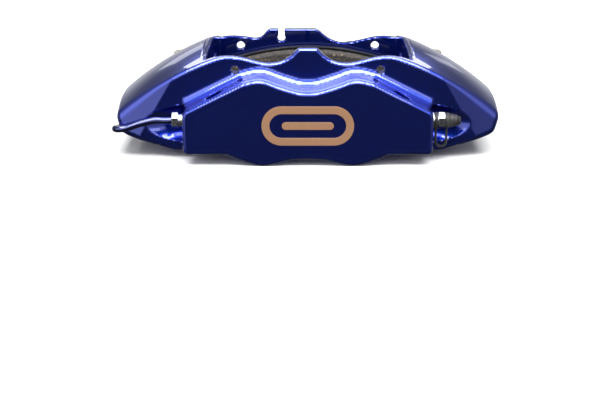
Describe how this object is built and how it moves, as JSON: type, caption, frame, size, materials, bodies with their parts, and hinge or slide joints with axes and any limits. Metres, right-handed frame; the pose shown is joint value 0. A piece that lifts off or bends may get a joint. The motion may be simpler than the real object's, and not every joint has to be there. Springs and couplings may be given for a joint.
{
  "type": "brake caliper",
  "caption": "Fixed opposed-piston disc brake caliper in two bolted halves with pads, crossover pipe and bleed screws, for radial mounting.",
  "frame": {"origin": "midway between the two radial mounting holes, on the mounting face", "axes": "+X along the caliper's length, +Y inboard along the disc's axis, +Z outwards from the disc's centre; the disc's centre is at (0, -60, -127.5) mm"},
  "size_m": [0.2796, 0.1489, 0.0785],
  "materials": {
    "blue_lacquer": "candy blue lacquer over aluminium, high gloss",
    "blue_pipe": "gloss blue over steel pipe",
    "copper_badge": "satin copper",
    "bright_steel": "bright plated",
    "stainless": "rolled stainless sheet",
    "piston_steel": "ground stainless",
    "zinc_plate": "pale yellow zinc plate",
    "black_steel": "black oxide",
    "black_rubber": "matt rubber",
    "friction": "granular friction material"
  },
  "bodies": {
    "root": {"outboard_half": "blue_lacquer", "inboard_half": "blue_lacquer", "emblem": "copper_badge", "bridge_bolts": "black_steel", "bridge_washers": "zinc_plate", "bridge_dowels": "bright_steel", "mounting_bushes": "zinc_plate", "crossover_pipe": "blue_pipe", "outboard_pipe_nut": "bright_steel", "inboard_pipe_nut": "bright_steel", "outboard_seal_left": "black_rubber", "outboard_seal_right": "black_rubber", "inboard_seal_left": "black_rubber", "inboard_seal_right": "black_rubber", "outboard_wiper_left": "black_rubber", "outboard_wiper_right": "black_rubber", "inboard_wiper_left": "black_rubber", "inboard_wiper_right": "black_rubber", "outboard_cap_strap": "black_rubber", "inboard_cap_strap": "black_rubber", "outboard_abutment_left": "stainless", "outboard_abutment_right": "stainless", "inboard_abutment_left": "stainless", "inboard_abutment_right": "stainless", "abutment_screws": "bright_steel"},
    "outboard_pad": {"outboard_pad_plate": "black_steel", "outboard_pad_lining": "friction", "outboard_pad_shim": "stainless"},
    "outboard_piston_left": {"outboard_piston_left": "piston_steel"},
    "outboard_piston_right": {"outboard_piston_right": "piston_steel"},
    "outboard_bleeder": {"outboard_bleed_screw": "bright_steel"},
    "outboard_cap": {"outboard_bleed_cap": "black_rubber"},
    "inboard_pad": {"inboard_pad_plate": "black_steel", "inboard_pad_lining": "friction", "inboard_pad_shim": "stainless"},
    "inboard_piston_left": {"inboard_piston_left": "piston_steel"},
    "inboard_piston_right": {"inboard_piston_right": "piston_steel"},
    "inboard_bleeder": {"inboard_bleed_screw": "bright_steel"},
    "inboard_cap": {"inboard_bleed_cap": "black_rubber"}
  },
  "joints": [
    {"name": "outboard_pad_travel", "type": "slide", "parent": "root", "child": "outboard_pad", "axis": [0, 1, 0], "range_m": [0, 0.01]},
    {"name": "outboard_piston_left_travel", "type": "slide", "parent": "root", "child": "outboard_piston_left", "axis": [0, 1, 0], "range_m": [0, 0.01]},
    {"name": "outboard_piston_right_travel", "type": "slide", "parent": "root", "child": "outboard_piston_right", "axis": [0, 1, 0], "range_m": [0, 0.01]},
    {"name": "inboard_pad_travel", "type": "slide", "parent": "root", "child": "inboard_pad", "axis": [0, -1, 0], "range_m": [0, 0.01]},
    {"name": "inboard_piston_left_travel", "type": "slide", "parent": "root", "child": "inboard_piston_left", "axis": [0, -1, 0], "range_m": [0, 0.01]},
    {"name": "inboard_piston_right_travel", "type": "slide", "parent": "root", "child": "inboard_piston_right", "axis": [0, -1, 0], "range_m": [0, 0.01]},
    {"name": "outboard_bleed_turn", "type": "hinge", "parent": "root", "child": "outboard_bleeder", "pos_m": [0.087, -0.115, 0.021], "axis": [1, 0, 0], "range_deg": [0, 90]},
    {"name": "inboard_bleed_turn", "type": "hinge", "parent": "root", "child": "inboard_bleeder", "pos_m": [0.116, -0.002, 0.0135], "axis": [0, 1, 0], "range_deg": [0, 90]},
    {"name": "outboard_cap_pull", "type": "slide", "parent": "root", "child": "outboard_cap", "axis": [1, 0, 0], "range_m": [0, 0.014]},
    {"name": "inboard_cap_pull", "type": "slide", "parent": "root", "child": "inboard_cap", "axis": [0, 1, 0], "range_m": [0, 0.014]}
  ],
  "couplings": [
    {"joint": "outboard_piston_left_travel", "follows": "outboard_pad_travel", "ratio": 1},
    {"joint": "outboard_piston_right_travel", "follows": "outboard_pad_travel", "ratio": 1},
    {"joint": "inboard_piston_left_travel", "follows": "inboard_pad_travel", "ratio": 1},
    {"joint": "inboard_piston_right_travel", "follows": "inboard_pad_travel", "ratio": 1}
  ]
}
